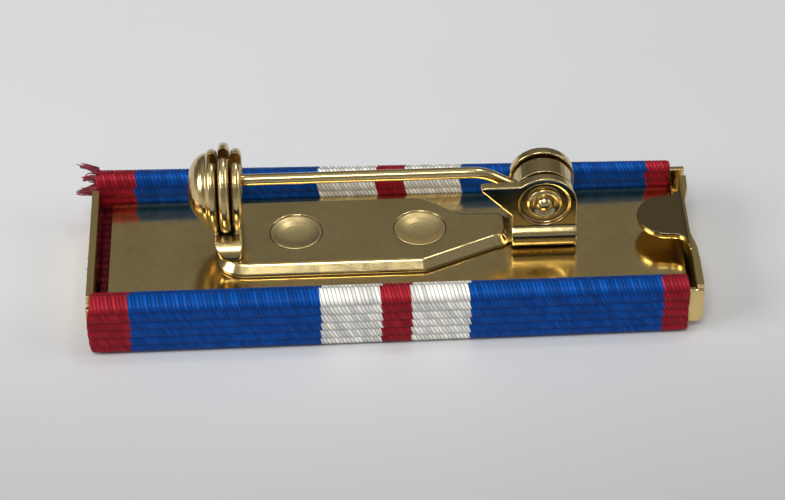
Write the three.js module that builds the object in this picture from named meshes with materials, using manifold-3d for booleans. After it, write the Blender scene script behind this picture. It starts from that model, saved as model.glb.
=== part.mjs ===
// A ribbon bar lying face down, with its safety brooch on top.
// A brass tray is wrapped in ribbon, a plate holds the ribbon's two tails down, and
// a brooch of strip, joint, pin and rolling safety catch is riveted to the plate.
// Millimetres, +Z up. +X runs from the catch to the joint, -Y is the front long side,
// and the origin lies under the middle of the bar, on the surface that it lies on.

import * as THREE from "three";
import { mergeVertices } from "three/addons/utils/BufferGeometryUtils.js";
import Module from "manifold-3d";

const wasm = await Module();
wasm.setup();

// ---- Driving dimensions --------------------------------------------------------

const GAP = 0.02;              // between pieces that touch
const ROUND = 64;              // facets of a full turn
const CUT = 0.4;               // how far a cutter runs past the face that it cuts

const BAR_WIDTH = 11.3;        // over the ribbon, along Y
const BAR_HEIGHT = 3.28;       // over the ribbon, along Z
const RIBBON = { thick: 0.32, left: -16.45, right: 15.8, bend: 0.28, tuck: 0.25 };
const TRAY = { half: 16.6, thick: 0.35, bend: 0.2, wallTop: 2.78, endTop: 3.05, endBend: 0.7 };
const TAB = { y: 0.6, radius: 1.65, tip: 13.5, top: 3.2, thick: 0.38, flare: 2.2, bow: 0.3 };
const PLATE = { left: -15.55, right: 15.9, thick: 0.5, top: 1.92, halfWidth: 4.58 };

const BROOCH_Y = 1.2;          // the pin, its joint and its catch lie behind the bar's middle
const STRIP = { y: 0.95, left: -9.25, wideEnd: 1.65, halfWidth: 2.65, thick: 0.6, slope: 0.45 };
const NECK = { start: 3.9, front: 0.1, back: 2.0, round: 0.6 };
const RIVET = { xs: [-5.27, 1.55], head: 1.42, shank: 0.93, sink: 0.44, rim: 0.1, dish: 0.28 };

const PIVOT = { x: 8.32, z: 4.85, pin: 0.35, running: 0.05 };
const EAR = { outer: 1.4, radius: 1.78, thick: 0.5, bend: 0.6, recess: 1.4, recessDepth: 0.22 };
const LUG = { x: 4.9, bottom: 5.85, top: 6.1, foot: 4.1 };
const ROLL = { outer: 1.8, low: 2.85, high: 3.2, bend: 0.3 };
const RIVET_HEAD = { ring: 1.0, height: 0.28, ball: 0.48, ballHeight: 0.5 };
const KNUCKLE = { radius: 1.68, thick: 1.2 };
const WIRE = { radius: 0.32, z: 6.12, tip: -9.6, taper: 1.8 };
const BEND = { start: 4.2, endX: 7.1, endZ: 5.0 };

const CATCH = { z: 5.6, left: -10.02, right: -8.1, flange: 2.17, flangeThick: 0.6 };
const HUB = { radius: 1.7, bore: 1.1, boreEnd: -9.85, slotHalf: 0.42 };
const CAP = { radius: 1.95, bulge: 1.1 };
const FOOT = { left: -9.7, right: -8.2, front: -1.45, back: 1.9, high: 1.0, round: 0.5, narrower: 0.45 };
const FLANGE_END = { pinch: 0.3, draw: 0.25, lean: 0.4 };
const COLLAR = { inner: 1.76, outer: 2.5, side: 0.07, slotHalf: 0.42 };

// ---- Levels worked out from them -----------------------------------------------

const halfRibbon = RIBBON.thick / 2;
const floorZ = RIBBON.thick + GAP;
const wallY = BAR_WIDTH / 2 - RIBBON.thick - GAP;
const wrapY = wallY - TRAY.thick - GAP;
const stripZ = PLATE.top + GAP;
const stripTop = stripZ + STRIP.thick;
const flangeGap = [CATCH.left + CATCH.flangeThick, CATCH.right - CATCH.flangeThick];

// ---- Solids --------------------------------------------------------------------

function solidOf(geometry) {
  geometry.deleteAttribute("normal");
  geometry.deleteAttribute("uv");
  const merged = mergeVertices(geometry, 1e-4);
  const vertProperties = new Float32Array(merged.attributes.position.array);
  const triVerts = new Uint32Array(merged.index.array);
  return new wasm.Manifold(new wasm.Mesh({ numProp: 3, vertProperties, triVerts }));
}

function geometryOf(solid) {
  const mesh = solid.getMesh();
  const geometry = new THREE.BufferGeometry();
  geometry.setAttribute("position", new THREE.BufferAttribute(mesh.vertProperties, 3));
  geometry.setIndex(new THREE.BufferAttribute(mesh.triVerts, 1));
  geometry.computeVertexNormals();
  return geometry;
}

// Extrudes an outline so that its x, y and depth lie along the three given axes.
function extrude(shape, depth, axes, start) {
  const settings = { depth, bevelEnabled: false, curveSegments: ROUND / 4 };
  const geometry = new THREE.ExtrudeGeometry(shape, settings);
  geometry.applyMatrix4(new THREE.Matrix4().makeBasis(...axes));
  geometry.translate(start.x, start.y, start.z);
  return solidOf(geometry);
}

const X = new THREE.Vector3(1, 0, 0);
const Y = new THREE.Vector3(0, 1, 0);
const Z = new THREE.Vector3(0, 0, 1);

// An outline drawn in (Y, Z), between two places along X.
function alongX(shape, from, to) {
  return extrude(shape, to - from, [Y, Z, X], new THREE.Vector3(from, 0, 0));
}

// An outline drawn in (X, Z), between two places along Y.
function alongY(shape, from, to) {
  return extrude(shape, to - from, [X, Z, Y.clone().negate()], new THREE.Vector3(0, to, 0));
}

// An outline drawn in (X, Y), between two heights.
function alongZ(shape, from, to) {
  return extrude(shape, to - from, [X, Y, Z], new THREE.Vector3(0, 0, from));
}

function box(x, y, z) {
  const geometry = new THREE.BoxGeometry(x[1] - x[0], y[1] - y[0], z[1] - z[0]);
  geometry.translate((x[0] + x[1]) / 2, (y[0] + y[1]) / 2, (z[0] + z[1]) / 2);
  return solidOf(geometry);
}

function disc(u, v, radius) {
  return new THREE.Shape().absarc(u, v, radius, 0, 2 * Math.PI);
}

// Turns a profile of [radius, place along the axis] points round an axis.
function turned(profile, axis, origin) {
  const points = profile.map(([radius, along]) => new THREE.Vector2(radius, along));
  const geometry = new THREE.LatheGeometry(points, ROUND);
  geometry.applyQuaternion(new THREE.Quaternion().setFromUnitVectors(Y, axis));
  geometry.translate(origin.x, origin.y, origin.z);
  return solidOf(geometry);
}

// [radius, along] points of a low dome, from its rim up to its crown on the axis.
function domeProfile(rim, height, base, steps) {
  const points = [];
  for (let i = 0; i <= steps; i += 1) {
    const angle = (i / steps) * Math.PI / 2;
    points.push([i === steps ? 0 : rim * Math.cos(angle), base + height * Math.sin(angle)]);
  }
  return points;
}

// The outline of a strip of even thickness that follows a line with rounded corners.
function foldedStrip(corners, radii, thickness) {
  const line = [];
  const points = corners.map(([u, v]) => new THREE.Vector2(u, v));
  const addPoint = (point, normal) => line.push({ point, normal });
  const normalOf = (from, to) => {
    const along = to.clone().sub(from).normalize();
    return new THREE.Vector2(-along.y, along.x);
  };
  addPoint(points[0], normalOf(points[0], points[1]));
  for (let i = 1; i < points.length - 1; i += 1) {
    const before = normalOf(points[i - 1], points[i]);
    const after = normalOf(points[i], points[i + 1]);
    const side = Math.sign(before.cross(after));
    const sum = before.clone().add(after).multiplyScalar(1 / (1 + before.dot(after)));
    const centre = points[i].clone().add(sum.multiplyScalar(side * radii[i - 1]));
    const turn = side * Math.acos(before.dot(after));
    const steps = 8;
    for (let k = 0; k <= steps; k += 1) {
      const normal = before.clone().rotateAround(new THREE.Vector2(), (turn * k) / steps);
      addPoint(centre.clone().addScaledVector(normal, -side * radii[i - 1]), normal);
    }
  }
  const last = points.length - 1;
  addPoint(points[last], normalOf(points[last - 1], points[last]));
  const offset = (sign) => line.map(({ point, normal }) =>
    point.clone().addScaledVector(normal, (sign * thickness) / 2));
  return new THREE.Shape([...offset(-1), ...offset(1).reverse()]);
}

// ---- Bar -----------------------------------------------------------------------

// The ribbon's section: one tail on the tray's floor, up inside the front wall, down
// outside it, under the tray, up and over the back wall, and the other tail on the first.
function ribbon() {
  const outer = BAR_WIDTH / 2 - halfRibbon;
  const inner = wrapY - halfRibbon;
  const low = floorZ + TRAY.thick + GAP + halfRibbon;
  const high = low + RIBBON.thick + 0.05;
  const top = BAR_HEIGHT - halfRibbon;
  const tailEnd = inner - 0.8;
  const fold = (outer - inner) / 2 - 0.001;
  const section = foldedStrip(
    [
      [tailEnd, low], [-inner, low], [-inner, top], [-outer, top], [-outer, halfRibbon],
      [outer, halfRibbon], [outer, top], [inner, top], [inner, high], [-tailEnd, high],
    ],
    [RIBBON.tuck, fold, fold, RIBBON.bend, RIBBON.bend, fold, fold, RIBBON.tuck],
    RIBBON.thick,
  );
  const reach = -TRAY.half + TRAY.thick + 0.05 + GAP;
  const endWallRoom = box(
    [RIBBON.left - CUT, reach],
    [-endWallHalf() - GAP, endWallHalf() + GAP],
    [low - halfRibbon - GAP / 2, BAR_HEIGHT],
  );
  return alongX(section, RIBBON.left, RIBBON.right).subtract(endWallRoom);
}

// The plain end wall stands between the ribbon's inner folds.
function endWallHalf() {
  return wrapY - RIBBON.thick - 0.08;
}

function tray() {
  const half = TRAY.thick / 2;
  const side = wallY - half;
  const bottom = floorZ + half;
  const section = foldedStrip(
    [[-side, TRAY.wallTop], [-side, bottom], [side, bottom], [side, TRAY.wallTop]],
    [TRAY.bend, TRAY.bend],
    TRAY.thick,
  );
  const channel = alongX(section, -TRAY.half, TRAY.half);
  const plainEnd = box(
    [-TRAY.half, -TRAY.half + TRAY.thick + 0.05],
    [-endWallHalf(), endWallHalf()],
    [floorZ, TRAY.endTop],
  );
  const whole = channel.add(plainEnd).add(tabbedEnd()).add(tab());
  return whole.intersect(roundedEnds());
}

// The joint end's wall is drawn in a little where its tab was bent over.
function tabbedEnd() {
  const outer = TRAY.half;
  const pulled = outer - TAB.bow;
  const thick = TRAY.thick + 0.05;
  const edge = wallY - 0.1;
  const backEdge = wallY - 1.15;
  const base = TAB.radius + 0.3;
  const outline = new THREE.Shape();
  outline.moveTo(outer - thick, -edge);
  outline.lineTo(outer, -edge);
  outline.lineTo(outer, TAB.y - base - 1.5);
  outline.bezierCurveTo(outer, TAB.y - base, pulled, TAB.y - base, pulled, TAB.y - 1);
  outline.lineTo(pulled, TAB.y + 1);
  outline.bezierCurveTo(pulled, TAB.y + base, outer, TAB.y + base, outer, TAB.y + base + 1.5);
  outline.lineTo(outer, backEdge);
  outline.lineTo(outer - thick, backEdge);
  outline.lineTo(outer - thick, TAB.y + base + 1.5);
  outline.bezierCurveTo(
    outer - thick, TAB.y + base, pulled - thick, TAB.y + base, pulled - thick, TAB.y + 1,
  );
  outline.lineTo(pulled - thick, TAB.y - 1);
  outline.bezierCurveTo(
    pulled - thick, TAB.y - base, outer - thick, TAB.y - base, outer - thick, TAB.y - base - 1.5,
  );
  return alongZ(outline, floorZ, TRAY.endTop);
}

// A half-round tab, folded in over the plate from the top of the joint end's wall.
function tab() {
  const root = TRAY.half - TAB.bow;
  const centre = TAB.tip + TAB.radius;
  const inside = root - 0.1;
  const plan = new THREE.Shape();
  plan.moveTo(inside, TAB.y - TAB.radius - TAB.flare);
  plan.bezierCurveTo(
    inside, TAB.y - TAB.radius - 0.2, inside - 0.4, TAB.y - TAB.radius, centre, TAB.y - TAB.radius,
  );
  plan.absarc(centre, TAB.y, TAB.radius, -Math.PI / 2, Math.PI / 2, true);
  plan.bezierCurveTo(
    inside - 0.4, TAB.y + TAB.radius, inside, TAB.y + TAB.radius + 0.2,
    inside, TAB.y + TAB.radius + TAB.flare,
  );
  plan.lineTo(root, TAB.y + TAB.radius);
  plan.lineTo(root, TAB.y - TAB.radius);
  const bend = TAB.thick;
  const sideView = new THREE.Shape();
  sideView.moveTo(TAB.tip - CUT, TAB.top - TAB.thick);
  sideView.lineTo(root, TAB.top - TAB.thick);
  sideView.absarc(root - bend, TAB.top - bend, bend, 0, Math.PI / 2);
  sideView.lineTo(TAB.tip - CUT, TAB.top);
  const sides = alongY(sideView, TAB.y - 4, TAB.y + 4);
  return alongZ(plan, TAB.top - TAB.thick, TAB.top).intersect(sides);
}

// The side view that both ends of the tray are pressed to, with round lower corners.
function roundedEnds() {
  const outline = new THREE.Shape();
  const { half, endBend } = TRAY;
  outline.moveTo(-half, BAR_HEIGHT);
  outline.lineTo(-half, floorZ + endBend);
  outline.absarc(-half + endBend, floorZ + endBend, endBend, Math.PI, 1.5 * Math.PI);
  outline.absarc(half - endBend, floorZ + endBend, endBend, 1.5 * Math.PI, 2 * Math.PI);
  outline.lineTo(half, BAR_HEIGHT);
  return alongY(outline, -wallY - CUT, wallY + CUT);
}

function backPlate() {
  const bottom = PLATE.top - PLATE.thick;
  let plate = box(
    [PLATE.left, PLATE.right],
    [-PLATE.halfWidth, PLATE.halfWidth],
    [bottom, PLATE.top],
  );
  for (const x of RIVET.xs) {
    const hole = alongZ(disc(x, STRIP.y, RIVET.shank + GAP), bottom - CUT, PLATE.top + CUT);
    plate = plate.subtract(hole);
  }
  return plate;
}

// ---- Brooch --------------------------------------------------------------------

// The outline of the strip's top. Its sides slope outwards from there.
function stripOutline() {
  const front = STRIP.y - STRIP.halfWidth;
  const back = STRIP.y + STRIP.halfWidth;
  const shoulder = 1.4;
  const end = PIVOT.x - EAR.radius + 0.1 - STRIP.slope;
  const outline = new THREE.Shape();
  outline.moveTo(STRIP.left, STRIP.y - 1.25);
  outline.quadraticCurveTo(STRIP.left, front, STRIP.left + shoulder, front);
  outline.lineTo(STRIP.wideEnd, front);
  outline.lineTo(end - NECK.round, NECK.front);
  outline.quadraticCurveTo(end, NECK.front, end, NECK.front + NECK.round);
  outline.lineTo(end, NECK.back - NECK.round);
  outline.quadraticCurveTo(end, NECK.back, end - NECK.round, NECK.back);
  outline.lineTo(NECK.start, NECK.back);
  outline.lineTo(STRIP.wideEnd, back);
  outline.lineTo(STRIP.left + shoulder, back);
  outline.quadraticCurveTo(STRIP.left, back, STRIP.left, STRIP.y + 1.25);
  return outline;
}

// The strip: a low foot all round, and sloping sides up to its flat top.
function strip() {
  const geometry = new THREE.ExtrudeGeometry(stripOutline(), {
    depth: 2 * (STRIP.thick - STRIP.slope),
    bevelThickness: STRIP.slope,
    bevelSize: STRIP.slope,
    bevelSegments: 1,
    curveSegments: ROUND / 4,
  });
  geometry.translate(0, 0, stripTop - STRIP.slope - 2 * (STRIP.thick - STRIP.slope));
  const upperHalf = box([-20, 20], [-10, 10], [stripZ, stripTop + CUT]);
  return solidOf(geometry).intersect(upperHalf);
}

// One ear drawn in (X, Z): round over the pivot, with or without a lug below the pin's wire.
function earOutline(withLug) {
  const left = PIVOT.x - EAR.radius;
  const outline = new THREE.Shape();
  outline.moveTo(left, stripZ - CUT);
  outline.lineTo(PIVOT.x + EAR.radius, stripZ - CUT);
  outline.absarc(PIVOT.x, PIVOT.z, EAR.radius, 0, withLug ? 0.75 * Math.PI : Math.PI);
  if (withLug) {
    outline.lineTo(LUG.x + 0.2, LUG.top);
    outline.quadraticCurveTo(LUG.x - 0.1, LUG.top, LUG.x, LUG.bottom);
    outline.lineTo(left, LUG.foot);
  }
  return outline;
}

// The joint: a U of sheet that is rolled out at the foot of each ear.
function joint() {
  const ear = EAR.outer - EAR.thick / 2;
  const roll = ROLL.outer - EAR.thick / 2;
  const bottom = stripZ + EAR.thick / 2;
  const top = PIVOT.z + EAR.radius + CUT;
  const half = [[ear, top], [ear, ROLL.high], [roll, ROLL.low], [roll, bottom]];
  const front = half.map(([across, z]) => [BROOCH_Y - across, z]);
  const back = half.map(([across, z]) => [BROOCH_Y + across, z]).reverse();
  const radii = [ROLL.bend, ROLL.bend, EAR.bend - EAR.thick / 2];
  const section = foldedStrip(
    [...front, ...back], [...radii, ...radii.slice().reverse()], EAR.thick,
  );
  const frontSide = alongY(earOutline(true), BROOCH_Y - ROLL.outer - CUT, BROOCH_Y);
  const backSide = alongY(earOutline(false), BROOCH_Y, BROOCH_Y + ROLL.outer + CUT);
  const sides = frontSide.add(backSide);
  return alongX(section, LUG.x - CUT, PIVOT.x + EAR.radius + CUT).intersect(sides);
}

function broochBase() {
  const outer = EAR.outer;
  let base = strip().add(joint());
  for (const side of [-1, 1]) {
    const floor = BROOCH_Y + side * (outer - EAR.recessDepth);
    const past = BROOCH_Y + side * (outer + 0.1);
    const recess = alongY(
      disc(PIVOT.x, PIVOT.z, EAR.recess), Math.min(floor, past), Math.max(floor, past),
    );
    base = base.subtract(recess);
  }
  const bore = disc(PIVOT.x, PIVOT.z, PIVOT.pin + GAP);
  base = base.subtract(alongY(bore, BROOCH_Y - outer - CUT, BROOCH_Y + outer + CUT));
  for (const x of RIVET.xs) {
    const through = disc(x, STRIP.y, RIVET.shank + GAP);
    const seat = disc(x, STRIP.y, RIVET.head + GAP);
    base = base.subtract(alongZ(through, stripZ - CUT, stripTop + CUT));
    base = base.subtract(alongZ(seat, stripTop - RIVET.sink, stripTop + CUT));
  }
  return base;
}

// A rivet that joins strip and plate, its dished head sunk in the strip.
function stripRivet(x) {
  const headSeat = stripTop - RIVET.sink + GAP;
  const foot = PLATE.top - PLATE.thick;
  const rim = stripTop - 0.02;
  const dishRadius = RIVET.head - RIVET.rim;
  const profile = [
    [0, foot], [RIVET.shank, foot], [RIVET.shank, headSeat], [RIVET.head, headSeat],
    [RIVET.head, rim],
  ];
  const steps = 5;
  for (let i = 0; i <= steps; i += 1) {
    const part = i / steps;
    profile.push([dishRadius * (1 - part), rim - RIVET.dish * (1 - (1 - part) ** 3)]);
  }
  return turned(profile, Z, new THREE.Vector3(x, STRIP.y, 0));
}

// The joint's rivet, with a low flared head and a ball in the recess of each ear.
function jointRivet() {
  const seat = EAR.outer - EAR.recessDepth + GAP;
  const { ring: flare, height, ball, ballHeight } = RIVET_HEAD;
  const head = [
    [flare, seat], [flare - 0.04, seat + height * 0.6], [flare - 0.18, seat + height],
    [flare - 0.32, seat + height * 0.8], [ball, seat + height * 0.4],
    ...domeProfile(ball * 0.98, ballHeight - height * 0.5, seat + height * 0.5, 4),
  ];
  const mirrored = head.map(([radius, along]) => [radius, -along]).reverse();
  const profile = [...mirrored, [PIVOT.pin, -seat], [PIVOT.pin, seat], ...head];
  return turned(profile, Y, new THREE.Vector3(PIVOT.x, BROOCH_Y, PIVOT.z));
}

// The bend by which the wire drops into the knuckle.
function wireBend() {
  const bend = new THREE.CubicBezierCurve3(
    new THREE.Vector3(BEND.start - 0.05, BROOCH_Y, WIRE.z),
    new THREE.Vector3(BEND.start + 1.5, BROOCH_Y, WIRE.z),
    new THREE.Vector3(BEND.endX - 1.5, BROOCH_Y, BEND.endZ + 0.55),
    new THREE.Vector3(BEND.endX, BROOCH_Y, BEND.endZ),
  );
  const settings = { steps: 20, curveSegments: ROUND / 4, extrudePath: bend };
  return solidOf(new THREE.ExtrudeGeometry(disc(0, 0, WIRE.radius), settings));
}

// The pin: a round wire with a tapered tip that bends down into a round knuckle.
function pin() {
  const half = KNUCKLE.thick / 2;
  const knuckle = alongY(
    disc(PIVOT.x, PIVOT.z, KNUCKLE.radius), BROOCH_Y - half, BROOCH_Y + half,
  );
  const tip = WIRE.tip;
  const blunt = 0.05;
  const end = BEND.start;
  const profile = [
    [0, tip], [blunt, tip], [WIRE.radius * 0.75, tip + WIRE.taper / 2],
    [WIRE.radius, tip + WIRE.taper], [WIRE.radius, end], [0, end],
  ];
  const wire = turned(profile, X, new THREE.Vector3(0, BROOCH_Y, WIRE.z));
  const bore = disc(PIVOT.x, PIVOT.z, PIVOT.pin + PIVOT.running);
  const hole = alongY(bore, BROOCH_Y - half - CUT, BROOCH_Y + half + CUT);
  return knuckle.add(wire).add(wireBend()).subtract(hole);
}

// ---- Catch ---------------------------------------------------------------------

function ring(outer, inner, from, to) {
  const whole = alongX(disc(BROOCH_Y, CATCH.z, outer), from, to);
  return whole.subtract(alongX(disc(BROOCH_Y, CATCH.z, inner), from - CUT, to + CUT));
}

// The cut that lets the pin's wire rise out of the catch.
function topSlot(halfWidth, from, to) {
  return box(
    [from, to],
    [BROOCH_Y - halfWidth, BROOCH_Y + halfWidth],
    [CATCH.z, CATCH.z + COLLAR.outer + CUT],
  );
}

// Draws the lower half of a round body down to a foot that is narrower along X and Y.
function drawnDown(geometry) {
  const place = geometry.attributes.position;
  const reach = (CATCH.z - stripTop - GAP - 0.04) / CATCH.flange - 1;
  const middle = (FOOT.left + FOOT.right) / 2;
  for (let i = 0; i < place.count; i += 1) {
    const drop = Math.min(0, place.getZ(i) - CATCH.z);
    const part = (drop / CATCH.flange) ** 2;
    place.setZ(i, place.getZ(i) + drop * part * reach);
    const across = (place.getY(i) - BROOCH_Y) * (1 - FLANGE_END.pinch * part);
    place.setY(i, BROOCH_Y + across - FLANGE_END.lean * part);
    place.setX(i, middle + (place.getX(i) - middle) * (1 - FLANGE_END.draw * part));
  }
  return geometry;
}

// The foot: a block that slopes down to the front of the strip and narrows towards it.
function foot() {
  const low = stripTop + GAP;
  const top = low + FOOT.high;
  const sideView = new THREE.Shape();
  sideView.moveTo(FOOT.front, low);
  sideView.lineTo(FOOT.back, low);
  sideView.lineTo(FOOT.back, low + FOOT.high * 0.6);
  sideView.lineTo(FOOT.front + 1.6, top);
  sideView.quadraticCurveTo(FOOT.front + 0.2, low + FOOT.high * 0.9, FOOT.front, low);
  const frontView = new THREE.Shape();
  frontView.moveTo(FOOT.left + FOOT.narrower, low - CUT);
  frontView.lineTo(FOOT.right, low - CUT);
  frontView.lineTo(FOOT.right, top + CUT);
  frontView.lineTo(FOOT.left, top + CUT);
  frontView.lineTo(FOOT.left, top - 0.2);
  const plan = new THREE.Shape();
  const { left, right, front, back, round } = FOOT;
  plan.moveTo(left, back);
  plan.lineTo(left, front + round);
  plan.quadraticCurveTo(left + FOOT.narrower / 2, front, left + FOOT.narrower + round, front);
  plan.lineTo(right - round, front);
  plan.quadraticCurveTo(right, front, right, front + round);
  plan.lineTo(right, back);
  const block = alongX(sideView, left, right);
  return block.intersect(alongY(frontView, front, back)).intersect(alongZ(plan, low, top));
}

// [radius, along] points over the round rim of a flange, from one side to the other.
function rimProfile(outer, middle, halfThick) {
  const points = [];
  const steps = 8;
  for (let i = 0; i <= steps; i += 1) {
    const angle = (i / steps) * Math.PI;
    const radius = outer - halfThick + halfThick * Math.sin(angle);
    points.push([radius, middle - halfThick * Math.cos(angle)]);
  }
  return points;
}

// Two round flanges on a hub, capped at the far end, drawn down to a foot on the strip.
function catchHousing() {
  const half = CATCH.flangeThick / 2;
  const cap = domeProfile(CAP.radius, CAP.bulge, 0, 8).reverse();
  const profile = [
    ...cap.map(([radius, along]) => [radius, CATCH.left - along]),
    ...rimProfile(CATCH.flange, CATCH.left + half, half).slice(1),
    ...rimProfile(CATCH.flange, CATCH.right - half, half),
    [0, CATCH.right],
  ];
  const points = profile.map(([radius, along]) => new THREE.Vector2(radius, along));
  const lathe = new THREE.LatheGeometry(points, ROUND);
  lathe.applyQuaternion(new THREE.Quaternion().setFromUnitVectors(Y, X));
  lathe.translate(0, BROOCH_Y, CATCH.z);
  const body = solidOf(drawnDown(lathe));
  const collarRoom = ring(COLLAR.outer + 0.08, HUB.radius, flangeGap[0], flangeGap[1]);
  const past = CATCH.right + CUT;
  const bore = alongX(disc(BROOCH_Y, CATCH.z, HUB.bore), HUB.boreEnd, past);
  const slot = topSlot(HUB.slotHalf, HUB.boreEnd, past);
  return body.add(foot()).subtract(collarRoom).subtract(bore).subtract(slot);
}

// A split ring that rolls on the hub. Its slot faces up, in line with the housing's.
function safetyCollar() {
  const from = flangeGap[0] + COLLAR.side;
  const to = flangeGap[1] - COLLAR.side;
  const rim = rimProfile(COLLAR.outer, (from + to) / 2, (to - from) / 2);
  const profile = [[COLLAR.inner, from], ...rim, [COLLAR.inner, to], [COLLAR.inner, from]];
  const whole = turned(profile, X, new THREE.Vector3(0, BROOCH_Y, CATCH.z));
  return whole.subtract(topSlot(COLLAR.slotHalf, from - CUT, to + CUT));
}

// ---- Assembly ------------------------------------------------------------------

const brass = { color: 0xb08d3e, roughness: 0.32, metalness: 1 };
const satinBrass = { color: 0x8a7442, roughness: 0.4, metalness: 1 };
const silk = { color: 0x1c4f9c, roughness: 0.8, metalness: 0 };

const group = new THREE.Group();

function place(name, solid, look) {
  const mesh = new THREE.Mesh(geometryOf(solid), new THREE.MeshStandardMaterial(look));
  mesh.name = name;
  group.add(mesh);
}

place("tray", tray(), brass);
place("ribbon", ribbon(), silk);
place("back_plate", backPlate(), satinBrass);
place("brooch_base", broochBase(), satinBrass);
place("strip_rivet_left", stripRivet(RIVET.xs[0]), brass);
place("strip_rivet_right", stripRivet(RIVET.xs[1]), brass);
place("joint_rivet", jointRivet(), brass);
place("pin", pin(), brass);
place("catch_housing", catchHousing(), brass);
place("safety_collar", safetyCollar(), brass);

export default group;
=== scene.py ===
"""The looks of a medal ribbon bar that lies face down with its brooch on top."""

import math
import bmesh
import bpy
import numpy as np
from mathutils import Matrix, Vector, noise


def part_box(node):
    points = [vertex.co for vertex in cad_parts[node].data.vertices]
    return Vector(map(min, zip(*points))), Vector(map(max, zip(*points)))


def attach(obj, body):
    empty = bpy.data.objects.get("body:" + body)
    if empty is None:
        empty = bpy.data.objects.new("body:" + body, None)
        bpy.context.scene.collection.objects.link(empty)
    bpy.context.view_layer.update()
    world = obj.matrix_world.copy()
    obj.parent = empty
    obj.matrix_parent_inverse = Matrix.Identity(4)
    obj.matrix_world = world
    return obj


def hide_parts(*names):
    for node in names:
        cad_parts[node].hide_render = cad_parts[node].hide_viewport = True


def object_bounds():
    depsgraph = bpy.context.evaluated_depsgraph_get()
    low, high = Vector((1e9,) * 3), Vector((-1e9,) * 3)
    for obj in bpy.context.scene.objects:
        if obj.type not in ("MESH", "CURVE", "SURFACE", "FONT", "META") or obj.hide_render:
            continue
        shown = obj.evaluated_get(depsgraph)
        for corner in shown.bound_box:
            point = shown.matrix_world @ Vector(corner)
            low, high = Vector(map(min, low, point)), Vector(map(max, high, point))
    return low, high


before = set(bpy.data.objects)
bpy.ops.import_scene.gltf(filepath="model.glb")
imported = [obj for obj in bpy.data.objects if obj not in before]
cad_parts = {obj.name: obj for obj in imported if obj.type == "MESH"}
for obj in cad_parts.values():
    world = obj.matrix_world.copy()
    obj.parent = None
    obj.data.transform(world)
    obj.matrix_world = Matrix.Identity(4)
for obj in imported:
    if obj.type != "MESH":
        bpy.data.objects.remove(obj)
cad_low, cad_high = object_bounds()

MM = 0.001
rng = np.random.RandomState(11)

# ---- Camera, lights and floor ----------------------------------------------------

CAMERA_DISTANCE = 0.16496
CAMERA_ELEVATION = math.radians(40.54)
CAMERA_AZIMUTH = math.radians(-1.26)
CAMERA_ROLL = math.radians(-1.06)
CAMERA_LENS = 137.6


def make_camera():
    aim = Vector(((cad_low.x + cad_high.x) / 2, (cad_low.y + cad_high.y) / 2, 0.002))
    aim.y -= 0.00025
    flat = math.cos(CAMERA_ELEVATION)
    back = Vector((
        math.sin(CAMERA_AZIMUTH) * flat,
        -math.cos(CAMERA_AZIMUTH) * flat,
        math.sin(CAMERA_ELEVATION),
    ))
    camera = bpy.data.objects.new("camera", bpy.data.cameras.new("camera"))
    camera.data.lens = CAMERA_LENS
    camera.data.sensor_width = 36.0
    camera.data.clip_start = 0.01
    camera.data.clip_end = 5.0
    camera.location = aim + back * CAMERA_DISTANCE
    turn = (-back).to_track_quat("-Z", "Y").to_matrix().to_4x4()
    camera.rotation_euler = (turn @ Matrix.Rotation(CAMERA_ROLL, 4, "Z")).to_euler()
    bpy.context.scene.collection.objects.link(camera)
    bpy.context.scene.camera = camera


def area_light(name, place, target, size, power, colour=(1.0, 1.0, 1.0)):
    light = bpy.data.lights.new(name, "AREA")
    light.shape = "RECTANGLE"
    light.size, light.size_y = size
    light.energy = power
    light.color = colour
    lamp = bpy.data.objects.new(name, light)
    lamp.location = place
    lamp.rotation_euler = (Vector(target) - Vector(place)).to_track_quat("-Z", "Y").to_euler()
    bpy.context.scene.collection.objects.link(lamp)


def make_stage():
    bpy.context.scene.view_settings.view_transform = "Standard"
    bpy.ops.mesh.primitive_plane_add(size=1.6, location=(0, 0, 0))
    floor = bpy.context.object
    floor.name = "floor"
    paint = NodeMaterial("floor_paint")
    cloudy = paint.noise(paint.position(), 30.0, detail=3.0)
    pale = paint.ramp(cloudy, [(0.3, (0.735, 0.737, 0.745)), (0.7, (0.765, 0.767, 0.775))])
    # Painted light: the floor's colour is brightest in the middle and darker towards the front
    # and towards the right, where the light is weaker.
    sideways, depth, _ = paint.split(paint.position())
    shade = [(0.0, (0.72,) * 3), (0.25, (0.84,) * 3), (0.5, (1.0,) * 3), (1.0, (0.985,) * 3)]
    painted_falloff = paint.ramp(paint.remap(depth, -0.020, 0.020, 0.0, 1.0), shade)
    painted_side_falloff = paint.remap(sideways, -0.005, 0.022, 1.0, 0.92)
    painted_falloff = paint.mix(1.0, painted_falloff, paint.join(painted_side_falloff, painted_side_falloff, painted_side_falloff), "MULTIPLY")
    paint.link(paint.mix(1.0, pale, painted_falloff, "MULTIPLY"), "Base Color")
    paint.set("Roughness", 0.55)
    floor.data.materials.append(paint.material)

    make_room()
    area_light("window", (-0.14, -0.54, 0.97), (0, 0, 0), (0.36, 0.28), 4.4, (0.98, 0.99, 1.0))
    area_light("left_panel", (-0.95, -0.25, 0.60), (0, 0, 0), (0.60, 0.50), 6.2)
    area_light("right_panel", (0.95, -0.10, 0.60), (0, 0, 0), (0.60, 0.50), 2.5)
    area_light("ceiling_panel", (0.30, 0.22, 0.95), (0, 0, 0), (0.12, 0.12), 0.8)


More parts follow.
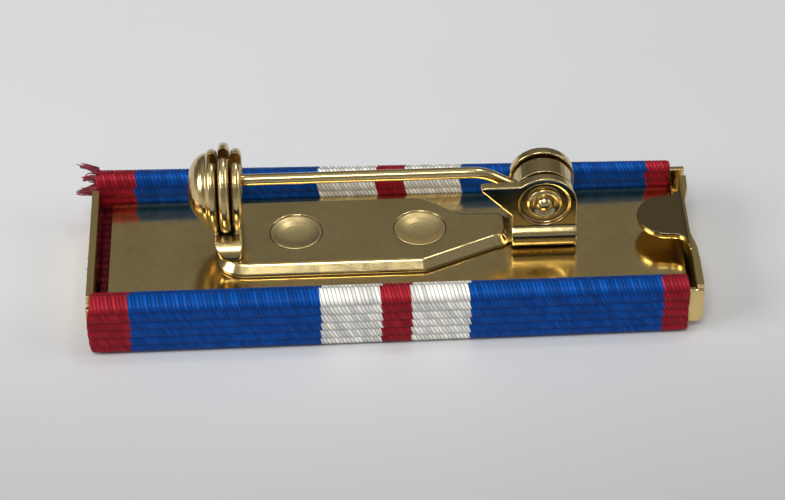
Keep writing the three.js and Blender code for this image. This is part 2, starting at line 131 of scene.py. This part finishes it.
def make_room():
    """The room's own light: dim behind the bar, and brighter in front of it and overhead."""
    world = bpy.data.worlds.new("room")
    bpy.context.scene.world = world
    world.use_nodes = True
    nodes, links = world.node_tree.nodes, world.node_tree.links
    coordinate = nodes.new("ShaderNodeTexCoord")
    split = nodes.new("ShaderNodeSeparateXYZ")
    links.new(coordinate.outputs["Generated"], split.inputs[0])
    behind = nodes.new("ShaderNodeValToRGB")
    set_ramp(behind, [(0.0, (0.42, 0.42, 0.43)), (0.15, (0.12, 0.12, 0.11)),
                      (0.40, (0.13, 0.125, 0.115)), (0.66, (0.20, 0.195, 0.185)),
                      (0.90, (0.36, 0.36, 0.36)), (1.0, (0.52, 0.52, 0.52))])
    links.new(split.outputs["Z"], behind.inputs[0])
    ahead = nodes.new("ShaderNodeValToRGB")
    set_ramp(ahead, [(0.0, (0.42, 0.42, 0.43)), (0.20, (0.30, 0.30, 0.30)),
                     (0.45, (0.19, 0.185, 0.18)), (0.62, (0.22, 0.215, 0.21)),
                     (0.72, (0.24, 0.24, 0.235)), (0.82, (0.28, 0.28, 0.275)),
                     (0.90, (0.38, 0.38, 0.38)), (1.0, (0.52, 0.52, 0.52))])
    links.new(split.outputs["Z"], ahead.inputs[0])
    side = nodes.new("ShaderNodeMapRange")
    links.new(split.outputs["Y"], side.inputs["Value"])
    for name, number in (("From Min", -0.35), ("From Max", 0.35)):
        side.inputs[name].default_value = number
    mix = nodes.new("ShaderNodeMix")
    mix.data_type = "RGBA"
    links.new(side.outputs["Result"], mix.inputs["Factor"])
    links.new(ahead.outputs["Color"], mix.inputs["A"])
    links.new(behind.outputs["Color"], mix.inputs["B"])
    links.new(mix.outputs["Result"], nodes["Background"].inputs["Color"])
    nodes["Background"].inputs["Strength"].default_value = 1.0


# ---- Materials -------------------------------------------------------------------

def set_ramp(ramp, stops, interpolation="LINEAR"):
    ramp.color_ramp.interpolation = interpolation
    elements = ramp.color_ramp.elements
    while len(elements) < len(stops):
        elements.new(1.0)
    for element, (place, colour) in zip(elements, stops):
        element.position = place
    for element, (place, colour) in zip(elements, stops):
        element.color = (*colour, 1.0)


class NodeMaterial:
    """A Principled material that is built node by node. Lengths are in metres."""

    def __init__(self, name):
        self.material = bpy.data.materials.new(name)
        self.material.use_nodes = True
        self.nodes = self.material.node_tree.nodes
        self.links = self.material.node_tree.links
        self.shader = self.nodes["Principled BSDF"]

    def set(self, socket, value):
        self.shader.inputs[socket].default_value = value

    def put(self, value, socket):
        """Gives a socket either a link from another node or a fixed value."""
        if isinstance(value, bpy.types.NodeSocket):
            self.links.new(value, socket)
        elif value is not None:
            socket.default_value = value

    def position(self):
        return self.nodes.new("ShaderNodeTexCoord").outputs["Object"]

    def facing_up(self):
        return self.split(self.nodes.new("ShaderNodeNewGeometry").outputs["Normal"])[2]

    def attribute(self, name):
        node = self.nodes.new("ShaderNodeAttribute")
        node.attribute_name = name
        return node.outputs["Vector"]

    def split(self, vector):
        node = self.nodes.new("ShaderNodeSeparateXYZ")
        self.put(vector, node.inputs[0])
        return node.outputs

    def join(self, x, y, z):
        node = self.nodes.new("ShaderNodeCombineXYZ")
        for value, socket in zip((x, y, z), node.inputs):
            self.put(value, socket)
        return node.outputs[0]

    def math(self, operation, first, second=None):
        node = self.nodes.new("ShaderNodeMath")
        node.operation = operation
        for value, socket in zip((first, second), node.inputs):
            self.put(value, socket)
        return node.outputs[0]

    def stretched(self, vector, scale, turn=(0.0, 0.0, 0.0)):
        node = self.nodes.new("ShaderNodeMapping")
        node.inputs["Scale"].default_value = scale
        node.inputs["Rotation"].default_value = turn
        self.put(vector, node.inputs["Vector"])
        return node.outputs[0]

    def noise(self, vector, scale, detail=2.0):
        node = self.nodes.new("ShaderNodeTexNoise")
        self.put(vector, node.inputs["Vector"])
        node.inputs["Scale"].default_value = scale
        node.inputs["Detail"].default_value = detail
        return node.outputs["Fac"]

    def white(self, vector):
        node = self.nodes.new("ShaderNodeTexWhiteNoise")
        self.put(vector, node.inputs["Vector"])
        return node.outputs["Value"]

    def ramp(self, value, stops, to=None, interpolation="LINEAR"):
        node = self.nodes.new("ShaderNodeValToRGB")
        set_ramp(node, stops, interpolation)
        self.put(value, node.inputs[0])
        if to:
            self.links.new(node.outputs["Color"], self.shader.inputs[to])
        return node.outputs["Color"]

    def remap(self, value, low, high, to_low, to_high):
        node = self.nodes.new("ShaderNodeMapRange")
        self.put(value, node.inputs["Value"])
        ends = {"From Min": low, "From Max": high, "To Min": to_low, "To Max": to_high}
        for name, number in ends.items():
            node.inputs[name].default_value = number
        return node.outputs["Result"]

    def mix(self, factor, first, second, blend="MIX"):
        node = self.nodes.new("ShaderNodeMix")
        node.data_type = "RGBA"
        node.blend_type = blend
        self.put(factor, node.inputs["Factor"])
        for value, socket in zip((first, second), (node.inputs["A"], node.inputs["B"])):
            self.put((*value, 1.0) if isinstance(value, tuple) else value, socket)
        return node.outputs["Result"]

    def corners(self, reach):
        """1 in the open and 0 deep in a corner or gap narrower than reach."""
        node = self.nodes.new("ShaderNodeAmbientOcclusion")
        node.samples = 6
        node.inputs["Distance"].default_value = reach
        return node.outputs["AO"]

    def bump(self, height, distance, strength=1.0, under=None):
        node = self.nodes.new("ShaderNodeBump")
        node.inputs["Strength"].default_value = strength
        node.inputs["Distance"].default_value = distance
        self.put(height, node.inputs["Height"])
        self.put(under, node.inputs["Normal"])
        return node.outputs["Normal"]

    def link(self, value, socket):
        self.links.new(value, self.shader.inputs[socket])


# Turn about Z in radians, then the noise's scale along and across the scratches.
SCRATCH_SETS = ((0.45, 300.0, 5200.0), (1.9, 340.0, 4600.0), (-0.7, 280.0, 5600.0))


def brass(name, bright, worn, roughness, scratches, darkened_past=None):
    """Lacquered brass: cloudy tarnish, corners that are rougher with dirt and darker with painted
    shade, specks and a few hairline scratches.

    darkened_past is an (x, z) place past which the brass's colour is darker.
    """
    m = NodeMaterial(name)
    place = m.position()
    cloud = m.noise(place, 260.0, detail=4.0)
    mottle = m.noise(place, 2200.0, detail=3.0)
    colour = m.mix(m.remap(cloud, 0.35, 0.7, 0.0, 1.0), bright, worn)
    colour = m.mix(m.remap(mottle, 0.45, 0.75, 0.0, 0.16 * scratches), colour, (0.30, 0.20, 0.08))
    specks = m.remap(m.noise(place, 5200.0, detail=1.0), 0.70, 0.80, 0.0, 0.45)
    colour = m.mix(specks, colour, (0.16, 0.10, 0.04))
    # Painted shade: the colour darkens in corners and gaps; the extra roughness there stands for
    # dirt.
    grime_and_painted_shade = m.remap(m.corners(0.4 * MM), 0.2, 0.75, 0.8, 0.0)
    colour = m.mix(grime_and_painted_shade, colour, (0.09, 0.055, 0.02))
    # The brass's colour is darker past this place on the tab.
    if darkened_past is not None:
        across, _, height = m.split(place)
        past_x, past_z = darkened_past
        darkened = m.math("MULTIPLY", m.remap(across, past_x, past_x + 0.2 * MM, 0.0, 1.0),
                        m.remap(height, past_z, past_z + 0.06 * MM, 0.0, 1.0))
        colour = m.mix(darkened, colour, (0.27, 0.21, 0.10))
    m.link(colour, "Base Color")
    m.set("Metallic", 1.0)
    lines = None
    for turn, lengthways, crossways in SCRATCH_SETS:
        squeeze = (lengthways, crossways, crossways)
        grain = m.noise(m.stretched(place, squeeze, (0.0, 0.0, turn)), 1.0)
        line = m.remap(grain, 0.72, 0.80, 0.0, 1.0)
        lines = line if lines is None else m.math("MAXIMUM", lines, line)
    rough = m.math("ADD", m.remap(cloud, 0.3, 0.7, roughness - 0.03, roughness + 0.05),
                   m.math("MULTIPLY", lines, 0.12 * scratches))
    rough = m.math("ADD", rough, m.remap(mottle, 0.4, 0.75, 0.0, 0.06 * scratches))
    m.link(m.math("ADD", rough, m.math("MULTIPLY", grime_and_painted_shade, 0.25)), "Roughness")
    dents = m.bump(m.noise(place, 420.0, detail=2.0), 0.012 * MM, 0.45)
    grit = m.bump(m.noise(place, 6500.0, detail=2.0), 0.0012 * MM, 0.45 * scratches, dents)
    m.link(m.bump(lines, 0.0012 * MM, scratches, grit), "Normal")
    return m.material


# ---- The ribbon's cloth ----------------------------------------------------------

RIB_PITCH = 0.55       # millimetres along the ribbon
THREAD_PITCH = 0.21    # millimetres across it
THREAD_LEAN = -1.3     # thread pitches that a thread moves sideways over one rib
VALLEY_SHADE = (0.006, 0.005, 0.009)
# Millimetres across the ribbon, from its left selvedge to its right one.
STRIPES = [
    (1.65, "crimson"), (10.35, "blue"), (3.2, "white"), (1.6, "crimson"),
    (3.2, "white"), (10.35, "blue"), (1.65, "crimson"),
]
DYES = {
    "crimson": (0.29, 0.008, 0.017),
    "blue": (0.0, 0.054, 0.29),
    "white": (0.80, 0.78, 0.73),
}


def ribbon_cloth():
    """Ribbed silk. The weave attribute holds millimetres across and along, and 1 if tucked in,
    where the cloth is darkened as painted shade.
    """
    m = NodeMaterial("ribbon_cloth")
    across, along, tucked = m.split(m.attribute("weave"))
    rib_place = m.math("DIVIDE", along, RIB_PITCH)
    rib = m.math("FLOOR", rib_place)
    phase = m.math("FRACT", rib_place)
    lean = m.math("MULTIPLY", m.math("SUBTRACT", phase, 0.5), THREAD_LEAN)
    stagger = m.math("MULTIPLY", rib, 0.5)
    thread = m.math("ADD", m.math("ADD", m.math("DIVIDE", across, THREAD_PITCH), lean), stagger)
    which = m.math("FLOOR", thread)
    chance = m.white(m.join(which, rib, 0.0))
    stray = m.math("MULTIPLY", m.math("SUBTRACT", m.white(m.join(rib, 3.0, 1.0)), 0.5), 0.14)
    zigzag = m.math("MULTIPLY", m.math("SUBTRACT", phase, 0.5), -0.12)
    placed = m.math("ADD", m.math("ADD", across, stray), zigzag)
    width = sum(part for part, _ in STRIPES)
    stops, edge = [], 0.0
    for part, dye in STRIPES:
        stops.append((edge / width, DYES[dye]))
        edge += part
    portion = m.remap(placed, -width / 2, width / 2, 0.0, 1.0)
    dyed = m.ramp(portion, stops, interpolation="CONSTANT")
    shade = m.remap(chance, 0.0, 1.0, 0.82, 1.22)
    cloud = m.noise(m.join(across, m.math("MULTIPLY", along, 2.0), 0.0), 1.1)
    patch = m.remap(cloud, 0.3, 0.7, 0.93, 1.06)
    tone = m.math("MULTIPLY", shade, patch)
    # Painted shade: the tails tucked deep in the tray are darkened.
    tone = m.math("MULTIPLY", tone, m.remap(tucked, 0.0, 1.0, 1.0, 0.30))
    dyed = m.mix(1.0, dyed, m.join(tone, tone, tone), "MULTIPLY")
    # Painted shade in the valleys between ribs and between threads.
    round_rib = m.math("SINE", m.math("MULTIPLY", phase, math.pi))
    dyed = m.mix(m.remap(round_rib, 0.0, 0.5, 0.36, 0.0), dyed, VALLEY_SHADE)
    round_thread = m.math("SINE", m.math("MULTIPLY", m.math("FRACT", thread), math.pi))
    dyed = m.mix(m.remap(round_thread, 0.0, 0.7, 0.55, 0.0), dyed, VALLEY_SHADE)
    # Painted sheen: the silk is paler where it faces up, most of all on the crowns of its
    # threads.
    painted_sheen = m.math("MULTIPLY", m.remap(m.facing_up(), 0.25, 0.75, 0.12, 0.62), round_thread)
    uneven = m.remap(chance, 0.0, 1.0, 0.4, 1.0)
    painted_sheen = m.math("MULTIPLY", m.math("MULTIPLY", painted_sheen, round_rib), uneven)
    sheen_colour = m.mix(1.0, dyed, (2.2, 2.2, 2.0), "MULTIPLY")
    sheen_colour = m.mix(1.0, sheen_colour, (0.004, 0.022, 0.03), "ADD")
    dyed = m.mix(painted_sheen, dyed, sheen_colour)
    m.link(dyed, "Base Color")
    strands = m.math("ADD", m.math("MULTIPLY", thread, 4.0), m.math("MULTIPLY", phase, 1.5))
    ply = m.math("SINE", m.math("MULTIPLY", strands, 2 * math.pi))
    height = m.math("ADD", m.math("MULTIPLY", ply, 0.12), m.math("MULTIPLY", chance, 0.5))
    height = m.math("ADD", height, m.math("MULTIPLY", round_thread, 0.6))
    m.link(m.bump(height, 0.03 * MM, 0.8), "Normal")
    m.set("Roughness", 0.42)
    m.set("Specular IOR Level", 0.10)
    return m.material


# ---- Mesh helpers ----------------------------------------------------------------

def piece_from(name, points, faces, material):
    mesh = bpy.data.meshes.new(name)
    mesh.from_pydata([tuple(point) for point in points], [], faces)
    mesh.validate()
    mesh.polygons.foreach_set("use_smooth", [True] * len(mesh.polygons))
    mesh.materials.append(material)
    made = bpy.data.objects.new(name, mesh)
    bpy.context.scene.collection.objects.link(made)
    return made


def grid_faces(rows, columns, flip=False):
    """The quads of a grid of points, numbered row by row."""
    index = np.arange(rows * columns).reshape(rows, columns)
    quads = np.stack([index[:-1, :-1], index[:-1, 1:], index[1:, 1:], index[1:, :-1]], axis=-1)
    quads = quads.reshape(-1, 4)
    return quads[:, ::-1] if flip else quads


def rounded_line(corners, radii, step):
    """Even steps along a line through the corners, each corner rounded by its radius."""
    points = [Vector(corner) for corner in corners]
    dense = [points[0]]
    for i in range(1, len(points) - 1):
        before = (points[i] - points[i - 1]).normalized()
        after = (points[i + 1] - points[i]).normalized()
        angle = before.angle(after)
        radius = radii[i - 1]
        reach = radius * math.tan(angle / 2)
        start = points[i] - before * reach
        turn = math.copysign(angle, before.x * after.y - before.y * after.x)
        side = Vector((-before.y, before.x)) * math.copysign(radius, turn)
        for k in range(25):
            part = Matrix.Rotation(turn * k / 24, 2)
            dense.append(start + side - part @ side)
    dense.append(points[-1])
    dense = np.array([tuple(point) for point in dense])
    lengths = np.concatenate([[0.0], np.cumsum(np.linalg.norm(np.diff(dense, axis=0), axis=1))])
    count = int(round(lengths[-1] / step))
    along = np.linspace(0.0, lengths[-1], count + 1)
    path = np.stack([np.interp(along, lengths, dense[:, k]) for k in (0, 1)], axis=1)
    tangent = np.gradient(path, axis=0)
    tangent /= np.linalg.norm(tangent, axis=1)[:, None]
    normal = np.stack([-tangent[:, 1], tangent[:, 0]], axis=1)
    return along, path, normal


# ---- The ribbon ------------------------------------------------------------------

RIBBON_THICK = 0.32
TRAY_SHEET = 0.35
CLEARANCE = 0.02
RIB_DEPTH = 0.08
THREAD_DEPTH = 0.025
LINE_STEP = 0.1
OUTER_COLUMNS = 881
INNER_COLUMNS = 81
FRONT_PUFF = 0.36      # how far the front fold leans in over the plate
FRONT_RISE = 0.16
BACK_RISE = 0.34       # at the catch end
END_WIDENING = 0.33    # of each long wall, at the catch end


def ribbon_section():
    """The line that the ribbon follows round the tray's walls, in (Y, Z) millimetres."""
    low, high = (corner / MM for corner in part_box("ribbon"))
    tray_low, tray_high = (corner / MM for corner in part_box("tray"))
    half = RIBBON_THICK / 2
    outer = high.y - half
    wall = tray_high.y
    inner = wall - TRAY_SHEET - CLEARANCE - half
    top = high.z - half
    first = tray_low.z + TRAY_SHEET + CLEARANCE + half
    second = first + RIBBON_THICK + 0.05
    fold = (outer - inner) / 2 - 0.001
    corners = [
        (inner - 0.8, first), (-inner, first), (-inner, top), (-outer, top), (-outer, half),
        (outer, half), (outer, top), (inner, top), (inner, second), (0.8 - inner, second),
    ]
    radii = [0.25, fold, fold, 0.32, 0.32, fold, fold, 0.25]
    return corners, radii


def ribbon_end(side, path, along):
    """Where the ribbon's selvedge lies along X, for each step round the section."""
    low, high = (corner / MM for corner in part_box("ribbon"))
    base = low.x if side < 0 else high.x
    height = path[:, 1]
    outside = np.abs(path[:, 0]) > high.y - RIBBON_THICK - 0.3
    slack = 0.42 if side < 0 else 0.16
    under = np.clip((slack * 2 - height) / (slack * 2), 0.0, 1.0)
    over = np.clip((height - high.z + slack) / slack, 0.0, 1.0)
    rounded = slack * (1 - np.sqrt(1 - under ** 2)) + 0.7 * slack * over ** 2
    drawn_in = np.where(outside | (height < 0.3), rounded, 0.0)
    drawn_in = np.where(tucked_tails(path) & (side < 0), 0.32, drawn_in)
    belly = 0.14 * np.sin(np.pi * np.clip(height / high.z, 0, 1))
    bulge = np.where(outside & (side < 0), belly, 0.0)
    loops = 0.05 * np.abs(np.sin(np.pi * along / RIB_PITCH))
    wander = np.array([0.06 * noise.noise((s * 0.8, 5.0 * side, 0.0)) for s in along])
    return base - side * (drawn_in + 0.03 - bulge) + side * (loops * 0.6 + wander - 0.03)


def tucked_tails(path):
    """Where the ribbon lies flat inside the tray."""
    return (path[:, 1] > 0.45) & (path[:, 1] < 1.6) & (np.abs(path[:, 0]) < 4.9)


def settle(points):
    """Widens the bar towards the catch end, and lets the front fold puff up over the plate."""
    low, high = (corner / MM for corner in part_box("ribbon"))
    place, height = points[:, :, 1], points[:, :, 2]
    part = (points[:, :, 0] - low.x) / (high.x - low.x)
    wall = np.clip((np.abs(place) - high.y + 0.5) / 0.3, 0.0, 1.0)
    front = place < 0
    wider = np.where(front, 0.31 * part - END_WIDENING, END_WIDENING - 0.42 * part) * wall
    raised = np.clip((height - 2.0) / 0.9, 0.0, 1.0)
    raised = raised * raised * (3 - 2 * raised)
    inward = np.clip((high.y - 0.25 - np.abs(place)) / 0.5, 0.0, 1.0)
    points[:, :, 1] = place + wider + np.where(front, FRONT_PUFF * raised * inward, 0.0)
    crown = np.clip((height - high.z + 0.45) / 0.4, 0.0, 1.0)
    points[:, :, 2] = height + crown * np.where(front, FRONT_RISE, 0.03 + BACK_RISE * (1 - part))


def ribbon_side(along, path, normal, left, right, columns, offset):
    """One face of the ribbon as a grid of points, with the weave's (across, along) at each."""
    portion = np.linspace(0.0, 1.0, columns)
    across = left[:, None] * (1 - portion) + right[:, None] * portion
    ease = np.minimum(across - left[:, None], right[:, None] - across)
    thin = np.clip(ease / 0.18, 0.0, 1.0) ** 0.5
    reach = offset * (0.45 + 0.55 * thin)
    points = np.zeros(across.shape + (3,))
    points[:, :, 0] = across
    points[:, :, 1] = path[:, None, 0] + normal[:, None, 0] * reach
    points[:, :, 2] = path[:, None, 1] + normal[:, None, 1] * reach
    weave = np.stack([across, np.broadcast_to(along[:, None], across.shape)], axis=2)
    return points, weave


def woven_relief(along, across):
    """Height of the ribs and threads above the ribbon's valleys, in millimetres."""
    rib_place = along[:, None] / RIB_PITCH
    phase = rib_place - np.floor(rib_place)
    ribs = np.sin(np.pi * phase) ** 0.6
    thread_place = across / THREAD_PITCH + THREAD_LEAN * (phase - 0.5) + 0.5 * np.floor(rib_place)
    threads = np.abs(np.sin(np.pi * thread_place))
    return RIB_DEPTH * (ribs - 1.0) + THREAD_DEPTH * ribs * (threads - 1.0)


def make_ribbon(cloth):
    corners, radii = ribbon_section()
    along, path, normal = rounded_line(corners, radii, LINE_STEP)
    left = ribbon_end(-1, path, along)
    right = ribbon_end(1, path, along)
    columns = OUTER_COLUMNS
    half = RIBBON_THICK / 2
    across = np.linspace(left.mean(), right.mean(), columns)
    relief = woven_relief(along, np.broadcast_to(across, (len(along), columns)))
    # The line runs so that the ribbon's outer face lies on its right.
    outer, outer_weave = ribbon_side(along, path, normal, left, right, columns, -half - relief)
    settle(outer)
    coarse_rows = np.unique(np.concatenate([np.arange(0, len(along), 3), [len(along) - 1]]))
    inner, inner_weave = ribbon_side(
        along[coarse_rows], path[coarse_rows], normal[coarse_rows], left[coarse_rows],
        right[coarse_rows], INNER_COLUMNS, half * 0.9,
    )
    settle(inner)
    grids = [(outer, outer_weave, False), (inner, inner_weave, True)]
    points, weave, faces = [], [], []
    for grid, threads, flip in grids:
        start = sum(len(block) for block in points)
        points.append(grid.reshape(-1, 3) * MM)
        # 1 where the tails lie tucked in the tray, which the cloth darkens as painted shade.
        rows = tucked_tails(grid[:, 0, 1:])
        tucked = np.broadcast_to(rows[:, None], grid.shape[:2]).astype(float)
        weave.append(np.column_stack([threads.reshape(-1, 2), tucked.ravel()]))
        faces.append(grid_faces(*grid.shape[:2], flip) + start)
    points, weave, faces = (np.concatenate(blocks) for blocks in (points, weave, faces))
    draft = bpy.data.meshes.new("ribbon_draft")
    draft.from_pydata(points.tolist(), [], faces.tolist())
    layer = draft.attributes.new("weave", "FLOAT_VECTOR", "POINT")
    layer.data.foreach_set("vector", weave.ravel())
    bm = bmesh.new()
    bm.from_mesh(draft)
    bpy.data.meshes.remove(draft)
    rims = [edge for edge in bm.edges if edge.is_boundary]
    bmesh.ops.bridge_loops(bm, edges=rims)
    bmesh.ops.recalc_face_normals(bm, faces=bm.faces)
    mesh = bpy.data.meshes.new("ribbon_weave")
    bm.to_mesh(mesh)
    bm.free()
    mesh.polygons.foreach_set("use_smooth", [True] * len(mesh.polygons))
    mesh.materials.append(cloth)
    ribbon = bpy.data.objects.new("ribbon_weave", mesh)
    bpy.context.scene.collection.objects.link(ribbon)
    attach(ribbon, "bar")
    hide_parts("ribbon")
    return ribbon


# ---- The ribbon's frayed corner ---------------------------------------------------

THREAD_SIDES = 5


def thread_tube(path, radius):
    """Points and faces of a thin tube along a path, closed at both ends."""
    sides = THREAD_SIDES
    count = len(path)
    points = np.zeros((count, sides, 3))
    for i in range(count):
        ahead = path[min(i + 1, count - 1)] - path[max(i - 1, 0)]
        forward = Vector(ahead).normalized()
        turn = forward.to_track_quat("Z", "Y").to_matrix()
        taper = radius * (1.0 - 0.5 * i / (count - 1))
        for k in range(sides):
            angle = 2 * math.pi * k / sides
            spoke = turn @ Vector((math.cos(angle), math.sin(angle), 0))
            points[i, k] = path[i] + np.array(spoke) * taper
    faces = []
    for i in range(count - 1):
        for k in range(sides):
            a, b = i * sides + k, i * sides + (k + 1) % sides
            faces.append((a, b, b + sides, a + sides))
    faces.append(tuple(range(sides))[::-1])
    faces.append(tuple(range((count - 1) * sides, count * sides)))
    return points.reshape(-1, 3), faces


def make_fray(thread):
    """Loose warp threads at the back corner of the catch end, in wisps and short stray ends."""
    low, high = (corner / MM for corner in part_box("ribbon"))
    wisps = [
        # root Y and Z below the ribbon's corner, heading, length, number of threads
        (0.50, 0.55, (-1.0, -0.30, 0.0), 1.2, 44),
        (0.20, 0.25, (-1.0, 0.0, 0.10), 0.85, 36),
        (-0.05, 0.0, (-1.0, 0.25, 0.35), 1.1, 18),
    ]
    paths = []
    steps = np.linspace(0.0, 1.0, 9)[:, None]
    for below_y, below_z, heading, length, count in wisps:
        middle = np.array([low.x + 0.2, high.y - below_y, high.z - below_z])
        bend = rng.uniform(-0.15, 0.15, 3)
        for _ in range(count):
            root = middle + rng.uniform(-1.0, 1.0, 3) * (0.05, 0.28, 0.22)
            reach = length * rng.uniform(0.65, 1.05)
            spread = rng.uniform(-1.0, 1.0, 3) * (0.15, 0.15, 0.13)
            tip = middle + np.array(heading) * reach + spread
            sway = np.sin(np.pi * steps) * (bend + rng.uniform(-0.08, 0.08, 3))
            paths.append((root + (tip - root) * steps + sway, rng.uniform(0.04, 0.065)))
    for _ in range(14):
        root = np.array([low.x + 0.15, rng.uniform(low.y + 0.2, high.y - 0.4), high.z - 0.35])
        tip = root + rng.uniform(-1.0, 1.0, 3) * (0.1, 0.15, 0.15) - (0.35, 0.0, 0.0)
        sway = np.sin(np.pi * steps) * rng.uniform(-0.08, 0.08, 3)
        paths.append((root + (tip - root) * steps + sway, 0.02))
    points, faces, start = [], [], 0
    for path, radius in paths:
        tube, sides = thread_tube(path, radius)
        points.append(tube)
        faces.extend([tuple(start + index for index in face) for face in sides])
        start += len(tube)
    fray = piece_from("ribbon_fray", np.concatenate(points) * MM, faces, thread)
    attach(fray, "bar")


def loose_thread():
    """The dull crimson of single threads."""
    m = NodeMaterial("loose_thread")
    tone = m.noise(m.position(), 2500.0)
    m.ramp(tone, [(0.3, (0.10, 0.006, 0.014)), (0.7, (0.34, 0.03, 0.05))], to="Base Color")
    m.link(m.bump(m.noise(m.position(), 30000.0), 0.01 * MM, 0.5), "Normal")
    m.set("Roughness", 0.6)
    return m.material


# ---- Brass pieces that keep their CAD shape --------------------------------------

def finish_flat(node, material, bevel):
    """Sheet with crisp faces and narrow rounded edges."""
    made = dress(node, material)
    flat = made.modifiers.new("flat_faces", "DECIMATE")
    flat.decimate_type = "DISSOLVE"
    flat.angle_limit = math.radians(0.6)
    edge = made.modifiers.new("edges", "BEVEL")
    edge.width = bevel * MM
    edge.segments = 3
    edge.limit_method = "ANGLE"
    edge.angle_limit = math.radians(28)
    normals = made.modifiers.new("normals", "WEIGHTED_NORMAL")
    normals.keep_sharp = True


def finish_pressed(node, material, voxel, passes):
    """Pressed metal, whose edges and joints are all softly rounded."""
    made = dress(node, material)
    skin = made.modifiers.new("skin", "REMESH")
    skin.mode = "VOXEL"
    skin.voxel_size = voxel * MM
    skin.use_smooth_shade = True
    soft = made.modifiers.new("soft", "SMOOTH")
    soft.factor = 0.5
    soft.iterations = passes


def dress(node, material):
    """Gives a CAD node its material, smooth shading and welded corners."""
    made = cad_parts[node]
    made.data.materials.clear()
    made.data.materials.append(material)
    made.data.polygons.foreach_set("use_smooth", [True] * len(made.data.polygons))
    weld = made.modifiers.new("weld", "WELD")
    weld.merge_threshold = 0.0008 * MM
    return made


# ---- Assembly --------------------------------------------------------------------

make_camera()
make_stage()

polished = brass("polished_brass", (0.67, 0.52, 0.25), (0.53, 0.40, 0.18), 0.20, 0.8)
tray_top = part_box("tray")[1]
tray_brass = brass("tray_brass", (0.82, 0.63, 0.27), (0.68, 0.51, 0.21), 0.18, 0.8,
                   darkened_past=(tray_top.x - 3.6 * MM, tray_top.z - 0.12 * MM))
satin = brass("satin_brass", (0.77, 0.61, 0.30), (0.65, 0.50, 0.23), 0.13, 1.0)
rivet_brass = brass("rivet_brass", (0.88, 0.71, 0.35), (0.78, 0.60, 0.27), 0.32, 1.0)
plate_brass = brass("plate_brass", (0.83, 0.65, 0.31), (0.70, 0.53, 0.24), 0.11, 1.2)

make_ribbon(ribbon_cloth())
make_fray(loose_thread())
finish_flat("back_plate", plate_brass, 0.04)
for node, material, voxel, passes in (
    ("tray", tray_brass, 0.05, 5),
    ("brooch_base", satin, 0.04, 12),
    ("strip_rivet_left", rivet_brass, 0.025, 4),
    ("strip_rivet_right", rivet_brass, 0.025, 4),
    ("joint_rivet", polished, 0.02, 4),
    ("pin", polished, 0.03, 10),
    ("catch_housing", polished, 0.03, 12),
    ("safety_collar", polished, 0.025, 10),
):
    finish_pressed(node, material, voxel, passes)
